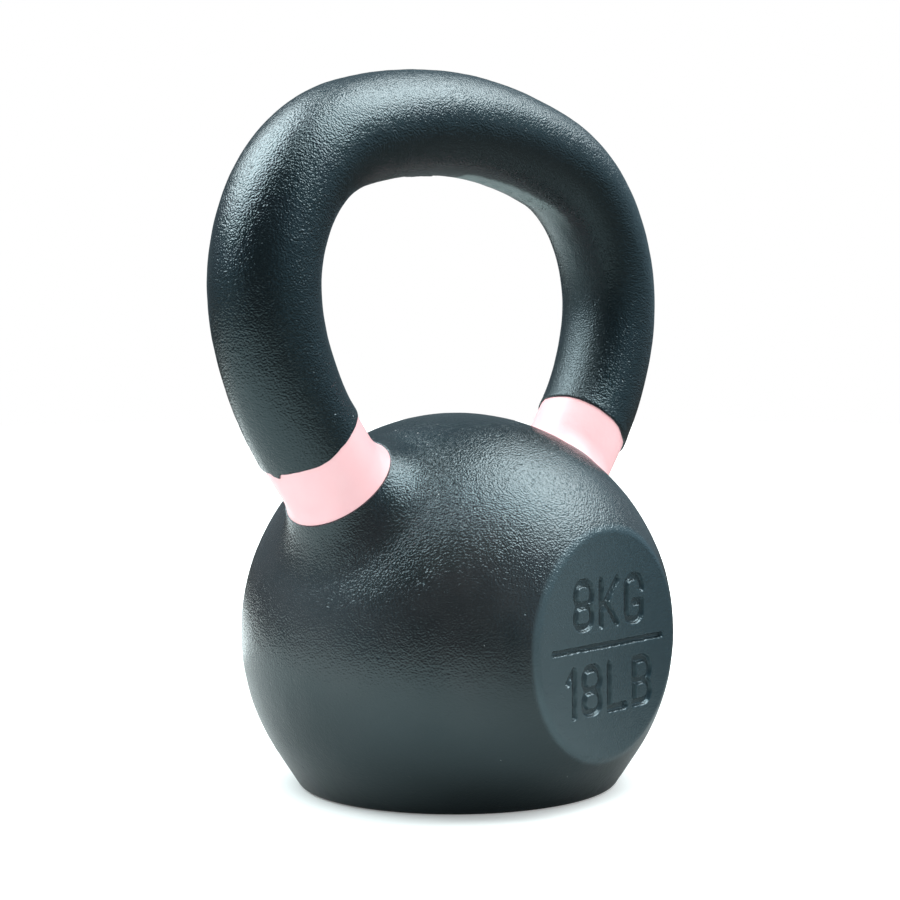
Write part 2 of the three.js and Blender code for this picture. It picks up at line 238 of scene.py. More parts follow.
def loop_line(distance):
    """Points in (x, z) and angles of the half loop, at distances from the middle of the grip."""
    x = np.zeros_like(distance)
    z = np.zeros_like(distance)
    angle = np.zeros_like(distance)
    start = 0.0
    for centre, radius, low, high in HALF_LOOP:
        here = distance >= start
        turned = np.minimum(low + (distance - start) / radius, high)
        angle = np.where(here, turned, angle)
        x = np.where(here, centre[0] + radius * np.sin(turned), x)
        z = np.where(here, centre[1] + radius * np.cos(turned), z)
        start += radius * (high - low)
    beyond = np.maximum(distance - BEND_LENGTH, 0)
    return x + beyond * SHANK_AXIS[0], z + beyond * SHANK_AXIS[1], angle


def on_loop(distance, turn, radius):
    """Points round the loop. Distance is negative on the left, and turn 0 is the loop's outside."""
    side = np.where(distance < 0, -1.0, 1.0)
    x, z, angle = loop_line(np.abs(distance))
    out = radius * np.cos(turn)
    place = [side * (x + out * np.sin(angle)), radius * np.sin(turn), z + out * np.cos(angle)]
    return np.stack(place, axis=-1)


# ------------------------------------------------------------------ distances to the surface


def distance_to_loop(points):
    """Distances outside the handle's round bar, with each shank carried on into the bell."""
    x, y, z = np.abs(points[:, 0]), points[:, 1], points[:, 2]
    nearest = np.full(len(points), np.inf)
    for centre, radius, low, high in HALF_LOOP:
        middle = (low + high) / 2
        angle = np.arctan2(x - centre[0], z - centre[1]) - middle
        angle = (angle + math.pi) % (2 * math.pi) - math.pi + middle
        angle = np.clip(angle, low, high)
        across = np.hypot(
            x - centre[0] - radius * np.sin(angle),
            z - centre[1] - radius * np.cos(angle),
        )
        nearest = np.minimum(nearest, np.hypot(across, y))
    along = (x - BEND_END[0]) * SHANK_AXIS[0] + (z - BEND_END[1]) * SHANK_AXIS[1]
    along = np.clip(along, 0, SHANK_LENGTH + HORN_FILLET)
    across = np.hypot(
        x - BEND_END[0] - along * SHANK_AXIS[0],
        z - BEND_END[1] - along * SHANK_AXIS[1],
    )
    return np.minimum(nearest, np.hypot(across, y)) - GRIP_RADIUS


def distance_to_faces(points):
    """The two flat faces, each with the round where it meets the ball, which it is tangent to."""
    ball = BELL_RADIUS - FACE_EDGE_ROUND
    face = FACE_OFFSET - FACE_EDGE_ROUND
    rim = math.sqrt(ball**2 - face**2)
    x, y, z = (points - BELL_CENTRE).T
    past_rim = np.hypot(x, z) - rim
    past_face = np.abs(y) - face
    beside = np.maximum(past_face, (past_rim * rim + past_face * face) / ball)
    round_it = (past_rim > 0) & (past_rim * face < past_face * rim)
    return np.where(round_it, np.hypot(past_rim, past_face), beside) - FACE_EDGE_ROUND


def distance_to_stand(points):
    """The ball on its rounded foot ring, which meets it in a tangent cone, above the floor."""
    across = np.hypot(points[:, 0], points[:, 1])
    z = points[:, 2]
    far = BELL_RADIUS - FOOT_EDGE_ROUND + FOOT_FLARE
    rise = BELL_CENTRE[2] - FOOT_EDGE_ROUND
    ring = math.sqrt(far**2 - rise**2)
    tangent = math.atan2(rise, -ring) - math.acos((FOOT_EDGE_ROUND - BELL_RADIUS) / far)
    out_x, out_z = math.cos(tangent), math.sin(tangent)
    down = (across - BELL_RADIUS * out_x) * out_z - (z - BELL_CENTRE[2] - BELL_RADIUS * out_z) * out_x
    length = math.sqrt(far**2 - (BELL_RADIUS - FOOT_EDGE_ROUND) ** 2)
    to_ball = np.hypot(across, z - BELL_CENTRE[2]) - BELL_RADIUS
    to_cone = (across - ring) * out_x + (z - FOOT_EDGE_ROUND) * out_z - FOOT_EDGE_ROUND
    to_ring = np.hypot(across - ring, z - FOOT_EDGE_ROUND) - FOOT_EDGE_ROUND
    side = np.where(down < 0, to_ball, np.where(down < length, to_cone, to_ring))
    return np.where((down > length) & (across < ring), -z, np.maximum(side, -z))


def distance_to_iron(points):
    """The whole casting, with a fillet between each horn and the bell."""
    to_bell = np.maximum(distance_to_faces(points), distance_to_stand(points))
    to_loop = distance_to_loop(points)
    corner = np.hypot(
        np.maximum(HORN_FILLET - to_bell, 0),
        np.maximum(HORN_FILLET - to_loop, 0),
    )
    return np.maximum(HORN_FILLET, np.minimum(to_bell, to_loop)) - corner


def skin_radius(distance, turn, inset):
    """How far from the loop's line the surface lies, shrunk by an inset, on a straight shank."""

    def outside(radius):
        """How far outside the shrunk surface a radius is."""
        return distance_to_iron(on_loop(distance, turn, radius)) + inset

    low = np.zeros_like(distance)
    return bisect(outside, low, low + GRIP_RADIUS + HORN_FILLET)


# ------------------------------------------------------------------ making meshes


def add_piece(name, points, faces, material, node):
    """A finished piece that stands for a CAD node."""
    mesh = bpy.data.meshes.new(name)
    mesh.from_pydata(points * MM, [], faces)
    mesh.validate()
    mesh.shade_smooth()
    mesh.set_sharp_from_angle(angle=SHARP_ANGLE)
    mesh.materials.append(material)
    piece = bpy.data.objects.new(name, mesh)
    bpy.context.scene.collection.objects.link(piece)
    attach(piece, "root")
    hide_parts(node)


def strip(ring, next_ring):
    """Quads between two closed rings of vertex numbers."""
    corners = [ring, np.roll(ring, -1), np.roll(next_ring, -1), next_ring]
    return np.stack(corners, axis=1).tolist()


def turns(count):
    """Angles evenly spaced round a horn."""
    return np.linspace(0, 2 * math.pi, count, endpoint=False)


# ------------------------------------------------------------------ the handle


def lip_line(side, turn):
    """How far past the end of the bend the black coat reaches, round one horn."""
    place = np.stack([np.cos(turn), np.sin(turn), np.full_like(turn, side)], axis=1) * GRIP_RADIUS
    line = LIP_RAGGED * sum(share * noise(place, lump) for share, lump in LIP_WAVES)
    line -= LIP_TILT[side] * (1 - np.cos(turn)) / 2
    for at, width, length in COAT_RUNS[side]:
        away = (np.degrees(turn) - at + 180) % 360 - 180
        line += length * np.exp(-((away / width) ** 2))
    return line


def handle_rings(turn):
    """The skin of the bent part, ring by ring from the left horn to the right horn."""
    count = math.ceil(2 * BEND_LENGTH / HANDLE_RING_STEP)
    rings = []
    lips = {side: lip_line(side, turn) for side in (-1, 1)}
    for base in np.linspace(-BEND_LENGTH, BEND_LENGTH, count + 1):
        side = -1 if base < 0 else 1
        near_end = ramp(abs(base), BEND_LENGTH - LIP_RUN, BEND_LENGTH)
        distance = base + side * near_end * (lips[side] - LIP_ROUND)
        rings.append(on_loop(distance, turn, GRIP_RADIUS + LIP_SWELL * near_end**3))
    return rings


def handle_end(side, turn):
    """The rings from a horn's lip to the tip of its seat."""
    edge = BEND_LENGTH + lip_line(side, turn)
    seam = np.full_like(turn, BEND_LENGTH + SEAM_DISTANCE)
    rings = []
    for step in np.linspace(0, math.pi / 2, LIP_STEPS + 1)[1:]:
        radius = GRIP_RADIUS + LIP_SWELL - LIP_ROUND * (1 - math.cos(step))
        rings.append((edge - LIP_ROUND * (1 - math.sin(step)), radius))
    rings.append((edge, CORE_RADIUS))
    rings.append((seam, CORE_RADIUS))
    rings.append((seam, SEAT_FOOT_RADIUS))
    rings.append((seam + SEAT_LENGTH, SEAT_TIP_RADIUS))
    return [on_loop(side * distance, turn, radius) for distance, radius in rings]


def parting_line(points, turn):
    """Height of the ground-off flash that the mould's halves left inside the loop."""
    wander, lump = FLASH_WANDER
    away = (turn - math.pi) * GRIP_RADIUS
    ridge = np.exp(-((away - wander * noise(points, lump)) ** 2) / FLASH_SPREAD)
    breaks = sum(share * noise(points, size) for share, size in FLASH_BREAK_WAVES)
    broken = ramp(breaks, *FLASH_BREAKS)
    at_top = 1 - (1 - FLASH_AT_SIDES) * ramp(np.abs(points[:, 0]), *FLASH_FADE)
    return FLASH_HEIGHT * ridge * broken * at_top


def cast_relief(points):
    """How far the cast surface stands out or in at each point."""
    return sum(height * noise(points + shift, lump) for height, lump, shift in CAST_WAVES)


def make_handle(material):
    """The loop with its lips, and the core and seat at each end."""
    turn = turns(HANDLE_SIDES)
    skin = handle_rings(turn)
    around = np.tile(turn, len(skin))
    base = np.repeat(np.linspace(-BEND_LENGTH, BEND_LENGTH, len(skin)), HANDLE_SIDES)
    points = np.concatenate(skin)
    out = points - on_loop(base, around, 0.0)
    out /= np.linalg.norm(out, axis=1)[:, None]
    relief = cast_relief(points) + parting_line(points, around)
    points = points + out * relief[:, None]
    points = np.concatenate([*handle_end(-1, turn)[::-1], points, *handle_end(1, turn)])
    numbers = np.arange(len(points)).reshape(-1, HANDLE_SIDES)
    faces = [face for ring, after in zip(numbers, numbers[1:]) for face in strip(after, ring)]
    faces.append(numbers[0].tolist())
    faces.append(numbers[-1][::-1].tolist())
    add_piece("cast_handle", points, faces, material, "handle")


# ------------------------------------------------------------------ the colour bands


def make_band(side, name, node, material):
    """A closed sleeve round one horn, from the coat's lip to the bell."""
    turn = turns(BAND_SIDES)
    top = BEND_LENGTH + lip_line(side, turn) + LIP_GAP
    flat = np.full_like(turn, BEND_LENGTH + BAND_WIDTH)
    bottom = flat + BAND_TILT * skin_radius(flat, turn, 0.0) * np.cos(turn) - LIP_GAP
    rings = []
    for inset, order in ((BAND_INSET, 1), (BAND_INSET + BAND_THICKNESS, -1)):
        for share in np.linspace(0, 1, BAND_RINGS)[::order]:
            distance = top + (bottom - top) * share
            radius = skin_radius(distance, turn, inset)
            rings.append(on_loop(side * distance, turn, radius))
    points = np.concatenate(rings)
    points[:, 2] += sum(height * noise(points, lump) for height, lump in PAINT_WAVES)
    numbers = np.arange(len(points)).reshape(-1, BAND_SIDES)
    numbers = numbers if side > 0 else numbers[:, ::-1]
    following = np.roll(numbers, -1, axis=0)
    faces = [face for ring, after in zip(numbers, following) for face in strip(after, ring)]
    add_piece(name, points, faces, material, node)


# ------------------------------------------------------------------ the weight mark


def rounded(corners, radii, closed):
    """A polyline with an arc of its own radius at each corner."""
    points = []
    count = len(corners)
    for number, (corner, radius) in enumerate(zip(corners, radii)):
        corner = np.array(corner, float)
        if radius == 0 or (not closed and number in (0, count - 1)):
            points.append(corner)
            continue
        towards = [np.array(corners[(number + step) % count]) - corner for step in (-1, 1)]
        towards = [way / np.linalg.norm(way) for way in towards]
        centre = corner + radius * (towards[0] + towards[1])
        for turn in np.linspace(0, math.pi / 2, ARC_POINTS):
            outward = -towards[1] * math.cos(turn) - towards[0] * math.sin(turn)
            points.append(centre + radius * outward)
    if closed:
        points.append(points[0])
    return points


def letter_strokes():
    """Each letter or figure: its width, and the centrelines of its strokes."""
    left = MARK_STROKE / 2
    right = MARK_LETTER_WIDTH - left
    low = left
    high = MARK_HEIGHT - left
    middle = MARK_HEIGHT / 2
    stem = MARK_ONE_WIDTH - left
    bowl = MARK_BOWL_RADIUS

    def two_bowls(radius):
        """The bowls of an 8 or a B, with the radius of their left corners."""
        radii = [radius, bowl, bowl, radius]
        return [
            rounded([(left, foot), (right, foot), (right, head), (left, head)], radii, True)
            for foot, head in ((low, middle), (middle, high))
        ]

    around = [
        (right, high - bowl - MARK_STROKE / 4),
        (right, high),
        (left, high),
        (left, low),
        (right, low),
        (right, middle - left),
        (MARK_LETTER_WIDTH / 2, middle - left),
    ]
    return {
        "8": (MARK_LETTER_WIDTH, two_bowls(bowl)),
        "B": (MARK_LETTER_WIDTH, two_bowls(0)),
        "1": (MARK_ONE_WIDTH, [[(stem, left), (stem, high)], [(left, high - bowl), (stem, high)]]),
        "K": (
            MARK_LETTER_WIDTH,
            [
                [(left, left), (left, high)],
                [(left, middle - MARK_STROKE), (right, high)],
                [(left + MARK_STROKE, middle), (right, left)],
            ],
        ),
        "L": (MARK_LETTER_WIDTH, [[(left, high), (left, low), (right, low)]]),
        "G": (MARK_LETTER_WIDTH, [rounded(around, [0, bowl, bowl, bowl, bowl, 0, 0], False)]),
    }


def mark_segments():
    """Starts, ends and widths of all the straight pieces of the mark's strokes, in (x, z)."""
    letters = letter_strokes()
    middle = BELL_CENTRE[2]
    half = MARK_DIVIDER_LENGTH / 2
    strokes = [([(-half, middle), (half, middle)], MARK_DIVIDER_STROKE)]
    bottoms = (middle + MARK_ROW_GAP, middle - MARK_ROW_GAP - MARK_HEIGHT)
    for text, bottom in zip(MARK_ROWS, bottoms):
        row_width = sum(letters[name][0] + MARK_LETTER_GAP for name in text) - MARK_LETTER_GAP
        corner = np.array([-row_width / 2, bottom])
        for width, lines in (letters[name] for name in text):
            strokes += [(np.array(line) + corner, MARK_STROKE) for line in lines]
            corner = corner + [width + MARK_LETTER_GAP, 0]
    starts = np.concatenate([line[:-1] for line, _ in strokes])
    ends = np.concatenate([line[1:] for line, _ in strokes])
    widths = np.concatenate([np.full(len(line) - 1, width) for line, width in strokes])
    return starts, ends, widths


def distance_to_strokes(points):
    """Distances outside the mark's strokes, and how much each point lies below its stroke."""
    sway = [noise(points + shift, STROKE_WANDER_LUMP) for shift in (0, STROKE_WANDER_SHIFT)]
    place = points[:, [0, 2]] + STROKE_WANDER * np.stack(sway, axis=1)
    outside = np.full(len(points), np.inf)
    below = np.zeros(len(points))
    for start, end, width in zip(*mark_segments()):
        along = end - start
        share = np.clip((place - start) @ along / (along @ along), 0, 1)
        away = place - start - share[:, None] * along
        distance = np.linalg.norm(away, axis=1)
        closer = distance - width / 2 < outside
        outside = np.where(closer, distance - width / 2, outside)
        lower = np.clip(-away[:, 1] / np.maximum(distance, STROKE_CORE), 0, 1)
        below = np.where(closer, lower, below)
    return outside, below


def mark_depth(points):
    """How deep the mark is sunk at points on the front face."""
    outside, below = distance_to_strokes(points)
    lean = STROKE_LEAN * below
    return MARK_DEPTH * ramp(-outside, STROKE_WALL[0] - lean, STROKE_WALL[1] + lean)


# ------------------------------------------------------------------ the bell


def to_band(directions):
    """How far the plane in which the nearer band ends lies from the bell's centre, along each
    direction. It is infinite for directions that pass it by."""
    rise = -folded(directions) @ BAND_END_NORMAL
    distance = past_band(BELL_CENTRE[None])[0] / np.maximum(rise, LEAST_RISE)
    return np.where(rise > LEAST_RISE, distance, np.inf)


def bell_reach(directions):
    """How far the surface lies from the bell's centre, up to the lower edge of the bands."""

    def outside(radius):
        """How far outside the casting the points at a radius are."""
        return distance_to_iron(BELL_CENTRE + radius[:, None] * directions)

    low = np.full(len(directions), BELL_CENTRE[2] - 1)  # the foot is the nearest part
    return bisect(outside, low, np.minimum(to_band(directions), BELL_RADIUS + HORN_FILLET))


def on_mark(points):
    """Whether points lie on the front face near the weight mark."""
    x, y, z = points.T
    above = np.abs(z - BELL_CENTRE[2])
    return (
        (y < MARK_FACE_DEPTH - FACE_OFFSET)
        & (np.abs(x) < MARK_DIVIDER_LENGTH / 2 + MARK_MARGIN)
        & (above < MARK_ROW_GAP + MARK_HEIGHT + MARK_MARGIN)
        & ((np.abs(x) < MARK_ROWS_REACH) | (above < MARK_DIVIDER_REACH))
    )


def on_stroke_edge(points):
    """Whether points lie on the wall of one of the mark's strokes."""
    outside, _ = distance_to_strokes(points)
    return on_mark(points) & (np.abs(outside + WALL_MIDDLE) < WALL_REACH)


def on_detail(points):
    """Whether points lie on the mark, a face's rim, a horn's fillet or the foot ring."""
    x, y, z = (points - BELL_CENTRE).T
    raised = np.hypot(np.hypot(x, y), z) > BELL_RADIUS + DETAIL_RISE
    rim = math.sqrt(BELL_RADIUS**2 - FACE_OFFSET**2)
    at_rim = (np.abs(np.hypot(x, z) - rim) < RIM_REACH) & (np.abs(y) > FACE_OFFSET - RIM_DEPTH)
    at_foot = (points[:, 2] < FOOT_HEIGHT) & (np.hypot(x, y) > BELL_RADIUS * FOOT_INSIDE)
    return on_mark(points) | at_rim | (raised & (z > 0)) | at_foot


def refine(ball, chosen):
    """Splits the faces that a test on their middles chooses, each into four."""
    middles = np.array([face.calc_center_median() for face in ball.faces])
    middles /= np.linalg.norm(middles, axis=1)[:, None]
    flags = chosen(BELL_CENTRE + bell_reach(middles)[:, None] * middles)
    edges = {edge for face, flag in zip(ball.faces, flags) if flag for edge in face.edges}
    bmesh.ops.subdivide_edges(ball, edges=list(edges), cuts=1)
    bmesh.ops.triangulate(ball, faces=ball.faces)


def fine_ball():
    """Directions and triangles of a ball, finer where the bell has detail."""
    ball = bmesh.new()
    bmesh.ops.create_icosphere(ball, subdivisions=BELL_SUBDIVISIONS, radius=1)
    for chosen in (on_detail, on_detail, on_mark, on_stroke_edge):
        refine(ball, chosen)
    directions = np.array([vertex.co for vertex in ball.verts])
    triangles = np.array([[vertex.index for vertex in face.verts] for face in ball.faces])
    ball.free()
    return directions / np.linalg.norm(directions, axis=1)[:, None], triangles


def cut_along(points, triangles, values):
    """Cuts a mesh where values pass zero, and keeps its positive side. Returns the points, the
    triangles and which points lie on the cut."""
    positive = values > 0
    count = positive[triangles].sum(axis=1)
    mixed = triangles[(count == 1) | (count == 2)]
    tip_kept = positive[mixed].sum(axis=1) == 1  # else the two other corners are kept
    column = np.argmax(positive[mixed] == tip_kept[:, None], axis=1)
    rows = np.arange(len(mixed))
    tip, second, third = (mixed[rows, (column + step) % 3] for step in range(3))
    pairs = np.concatenate([np.stack([tip, second], 1), np.stack([tip, third], 1)])
    pairs, where = np.unique(np.sort(pairs, axis=1), axis=0, return_inverse=True)
    by_second, by_third = (len(points) + where).reshape(2, -1)  # the cuts on the tip's two sides
    kept = [
        triangles[count == 3],
        np.stack([tip, by_second, by_third], 1)[tip_kept],
        np.stack([by_second, second, third], 1)[~tip_kept],
        np.stack([by_second, third, by_third], 1)[~tip_kept],
    ]
    low, high = values[pairs[:, 0]], values[pairs[:, 1]]
    share = (low / (low - high))[:, None]
    added = points[pairs[:, 0]] * (1 - share) + points[pairs[:, 1]] * share
    points = np.concatenate([points, added])
    used, triangles = np.unique(np.concatenate(kept), return_inverse=True)
    on_cut = used >= len(points) - len(added)
    return points[used], triangles.reshape(-1, 3), on_cut


def in_order(rim, side):
    """The order of rim points round a shank, as seen from the end of the horn."""
    _, out = on_shank(rim, side)
    order = np.argsort(np.arctan2(rim[:, 1], out))
    return order if side > 0 else order[::-1]


def neck_rings(rim, side):
    """From the open rim under a band: the core of the neck, and the socket for the handle."""
    down, out = on_shank(rim, side)
    turn = np.arctan2(rim[:, 1], out)
    mouth = np.full_like(turn, BEND_LENGTH + SEAM_DISTANCE + CLEARANCE)
    rings = []
    for share in np.linspace(0, 1, NECK_RINGS):
        distance = (BEND_LENGTH + down) * (1 - share) + mouth * share
        rings.append((distance, skin_radius(distance, turn, CORE_INSET)))
    rings.append((mouth, SEAT_FOOT_RADIUS + SEAT_PLAY))
    rings.append((mouth + SEAT_LENGTH, SEAT_TIP_RADIUS + SEAT_PLAY))
    return [on_loop(side * distance, turn, radius) for distance, radius in rings]


def bell_skin():
    """The bell's surface, open under the bands, and which of its points lie on the two rims."""
    directions, triangles = fine_ball()
    end = np.minimum(to_band(directions), 2 * BELL_RADIUS)
    left_over = distance_to_iron(BELL_CENTRE + end[:, None] * directions)
    directions, triangles, on_rim = cut_along(directions, triangles, left_over)
    directions /= np.linalg.norm(directions, axis=1)[:, None]
    radius = np.where(on_rim, to_band(directions), bell_reach(directions))
    points = BELL_CENTRE + radius[:, None] * directions
    free = ramp(points[:, 2], *FOOT_FADE) * ramp(past_band(points), *BAND_FADE)
    points = points + directions * (cast_relief(points) * free)[:, None]
    front = on_mark(points)
    points[front, 1] += mark_depth(points[front])
    return points, triangles, on_rim


def make_bell(material):
    """The bell with its weight mark, and a neck with a socket inside each band."""
    points, triangles, on_rim = bell_skin()
    faces = triangles.tolist()
    rims = {side: np.flatnonzero(on_rim & (points[:, 0] * side > 0)) for side in (-1, 1)}
    for side, rim in rims.items():
        ring = rim[in_order(points[rim], side)]
        for following in neck_rings(points[ring], side):
            numbers = len(points) + np.arange(len(rim))
            points = np.concatenate([points, following])
            faces += strip(ring, numbers)
            ring = numbers
        faces.append(ring.tolist())
    add_piece("cast_bell", points, faces, material, "bell")


# ------------------------------------------------------------------ nodes of the materials


def new_material(name):
    """A node material, its node tree and its shader."""
    material = bpy.data.materials.new(name)
    material.use_nodes = True
    tree = material.node_tree
    return material, tree, tree.nodes["Principled BSDF"]


def add_node(tree, kind, values=(), **settings):
    """A node with some of its inputs set or linked, and with settings of its own."""
    node = tree.nodes.new(kind)
    for name, setting in settings.items():
        setattr(node, name, setting)
    for socket, value in dict(values).items():
        if isinstance(value, bpy.types.NodeSocket):
            tree.links.new(value, node.inputs[socket])
        else:
            node.inputs[socket].default_value = value
    return node


def place_of(tree):
    """Places on the object, in metres."""
    return add_node(tree, "ShaderNodeTexCoord").outputs["Object"]


def axis(tree, name):
    """One coordinate of the place, in metres."""
    return add_node(tree, "ShaderNodeSeparateXYZ", {0: place_of(tree)}).outputs[name]


def maths(tree, operation, *values):
    """The result of a sum on one or two values."""
    return add_node(tree, "ShaderNodeMath", dict(enumerate(values)), operation=operation).outputs[0]


def vector_maths(tree, operation, *values, result="Vector"):
    """The result of a sum on one or two vectors."""
    node = add_node(tree, "ShaderNodeVectorMath", dict(enumerate(values)), operation=operation)
    return node.outputs[result]


def remapped(tree, value, low, high):
    """A value from low to high, spread smoothly from 0 to 1."""
    values = {"Value": value, "From Min": low, "From Max": high}
    node = add_node(tree, "ShaderNodeMapRange", values, interpolation_type="SMOOTHSTEP")
    return node.outputs["Result"]


def fade(tree, length, start, full):
    """0 where a length in metres is at its start and 1 where it is full, both in millimetres."""
    return remapped(tree, length, start * MM, full * MM)


def spread(tree, value, low, high):
    """A value from 0 to 1, taken to a range of its own."""
    values = {"Value": value, "To Min": low, "To Max": high}
    return add_node(tree, "ShaderNodeMapRange", values).outputs["Result"]


def mixed_colour(tree, share, first, second):
    """The first colour where the share is 0, and the second where it is 1."""
    values = {0: share}
    for socket, colour in ((6, first), (7, second)):
        values[socket] = colour if isinstance(colour, bpy.types.NodeSocket) else (*colour, 1.0)
    return add_node(tree, "ShaderNodeMix", values, data_type="RGBA").outputs[2]


def lumps(tree, size, detail=2.0):
    """Noise from 0 to 1 with lumps of the given size in millimetres."""
    values = {"Vector": place_of(tree), "Scale": 1 / (size * MM), "Detail": detail}
    return add_node(tree, "ShaderNodeTexNoise", values).outputs["Fac"]


def from_cell_middle(tree, size):
    """How far each place lies from the middle of its cell, in cells of a size in millimetres."""
    values = {"Vector": place_of(tree), "Scale": 1 / (size * MM)}
    return add_node(tree, "ShaderNodeTexVoronoi", values).outputs["Distance"]


def spots(tree, spacing, radius):
    """1 in small round spots and 0 between them. Both sizes are in millimetres."""
    return remapped(tree, from_cell_middle(tree, spacing), radius / spacing, 0.0)


# ------------------------------------------------------------------ the powder coat

GRAIN_SIZE = 0.5
GRAIN_DETAIL = 1.2
PEBBLE_SIZE = 0.65
PEBBLE_SHARE = 0.45
GRAIN_GROWTH = (30.0, 70.0)  # heights between which the grain grows
GRAIN_AT_FOOT = 0.4
PEEL_SIZE = 2.6  # of the slight orange peel under the grain
PEEL_DETAIL = 1.0
PEEL_SHARE = 0.3
PIT_SPACING = 9.0
PIT_RADIUS = 0.55
PIT_DEPTH = 1.2
BUMP_STRENGTH = 1.0
BUMP_HEIGHT = 0.2

CROWN_SIDES = (32.0, 24.0)  # dust lies on the bell's crown, between the horns
CROWN_BOTTOM = (88.0, 98.0)
CROWN_TOP = (118.0, 112.0)
CROWN_DUST = (3.2, 0.36)  # spacing and radius
STRAY_DUST = (6.0, 0.16)

BLACKS = ((0.002, 0.003, 0.003), (0.004, 0.005, 0.006))
BLACK_PATCH = 12.0
# Painted sheen: the coat is painted paler round the bell's belly, standing in for reflected light.
PAINTED_SHEEN_TOP = (100.0, 75.0)  # paler between these heights
PAINTED_SHEEN_BOTTOM = (10.0, 45.0)
PAINTED_SHEEN_PATCH = 20.0
PAINTED_SHEEN_TONE = (0.036, 0.033, 0.033)
# Painted reflection: the marked face is painted a lighter blue-grey, for the room that it reflects.
FACE_REFLECTION_DEPTH = (1.5, 0.6)  # from the marked face inward
FACE_REFLECTION_RUN = (-30.0, 30.0)  # from its left side to its right one, lighter to darker as painted shading
FACE_PAINTED_REFLECTIONS = ((0.042, 0.060, 0.068), (0.016, 0.030, 0.038))
PIT_TONE = (0.006, 0.007, 0.008)
DUST_TONE = (0.42, 0.46, 0.46)
# Painted highlight: the ground strip is painted paler, standing in for a glint on it.
GROUND_PAINTED_HIGHLIGHT = (0.15, 0.19, 0.19)

LOOP_CENTRE = (0.0, 0.0, 140.0)
GROUND_FACING = (0.2, 0.4)  # how squarely the ground strip faces the middle of the loop
GROUND_HALF_WIDTH = (5.8, 4.0)
GROUND_RAGGED = 2.4
GROUND_RAGGED_LUMP = 3.5
GROUND_HEIGHTS = (157.0, 172.0)
GROUND_START = (0.0, 2.0)  # from the middle plane to the right
SPECK_START = (-26.0, -12.0)
SPECK_SPACING = 1.5
SPECK_RADIUS = 0.45

COAT_ROUGHNESS = (0.16, 0.24)
ROUGHNESS_PATCH = 3.0
INSIDE_FACING = (0.55, 0.98)
INSIDE_ROUGHER = 0.22
GROUND_SMOOTHER = 0.06
COAT_SPECULAR = 1.0
COAT_SPECULAR_TINT = (0.68, 0.93, 1.0, 1.0)


def facing_loop(tree):
    """How squarely the surface faces the middle of the loop: 1 when it looks straight at it."""
    centre = tuple(length * MM for length in LOOP_CENTRE)
    inward = vector_maths(tree, "NORMALIZE", vector_maths(tree, "SUBTRACT", centre, place_of(tree)))
    normal = add_node(tree, "ShaderNodeNewGeometry").outputs["Normal"]
    return vector_maths(tree, "DOT_PRODUCT", inward, normal, result="Value")


# The strip is glossier, which is real, and its paler colour is a painted highlight.
def ground_strip_and_highlight(tree, inward):
    """1 where the parting line was ground off under the grip, and in specks beside it."""
    edge = maths(tree, "MULTIPLY", lumps(tree, GROUND_RAGGED_LUMP), GROUND_RAGGED * MM)
    width = maths(tree, "ADD", maths(tree, "ABSOLUTE", axis(tree, "Y")), edge)
    under_grip = fade(tree, width, *GROUND_HALF_WIDTH)
    under_grip = maths(tree, "MULTIPLY", under_grip, remapped(tree, inward, *GROUND_FACING))
    under_grip = maths(tree, "MULTIPLY", under_grip, fade(tree, axis(tree, "Z"), *GROUND_HEIGHTS))
    solid = fade(tree, axis(tree, "X"), *GROUND_START)
    specks = fade(tree, axis(tree, "X"), *SPECK_START)
    specks = maths(tree, "MULTIPLY", spots(tree, SPECK_SPACING, SPECK_RADIUS), specks)
    return maths(tree, "MULTIPLY", under_grip, maths(tree, "MAXIMUM", solid, specks))


def dust(tree):
    """1 in specks of dust: many on the bell's crown, and a few anywhere."""
    crown = fade(tree, maths(tree, "ABSOLUTE", axis(tree, "X")), *CROWN_SIDES)
    for heights in (CROWN_BOTTOM, CROWN_TOP):
        crown = maths(tree, "MULTIPLY", fade(tree, axis(tree, "Z"), *heights), crown)
    on_crown = maths(tree, "MULTIPLY", spots(tree, *CROWN_DUST), crown)
    return maths(tree, "MAXIMUM", spots(tree, *STRAY_DUST), on_crown)


def coat_height(tree, pits):
    """Relief of the coat: pebbly grain, fainter at the foot, on an orange peel with pits."""
    pebbles = maths(tree, "MULTIPLY", from_cell_middle(tree, PEBBLE_SIZE), PEBBLE_SHARE)
    grain = maths(tree, "SUBTRACT", lumps(tree, GRAIN_SIZE, GRAIN_DETAIL), pebbles)
    growth = fade(tree, axis(tree, "Z"), *GRAIN_GROWTH)
    grain = maths(tree, "MULTIPLY", grain, spread(tree, growth, GRAIN_AT_FOOT, 1.0))
    peel = maths(tree, "MULTIPLY", lumps(tree, PEEL_SIZE, PEEL_DETAIL), PEEL_SHARE)
    height = maths(tree, "ADD", grain, peel)
    return maths(tree, "SUBTRACT", height, maths(tree, "MULTIPLY", pits, PIT_DEPTH))


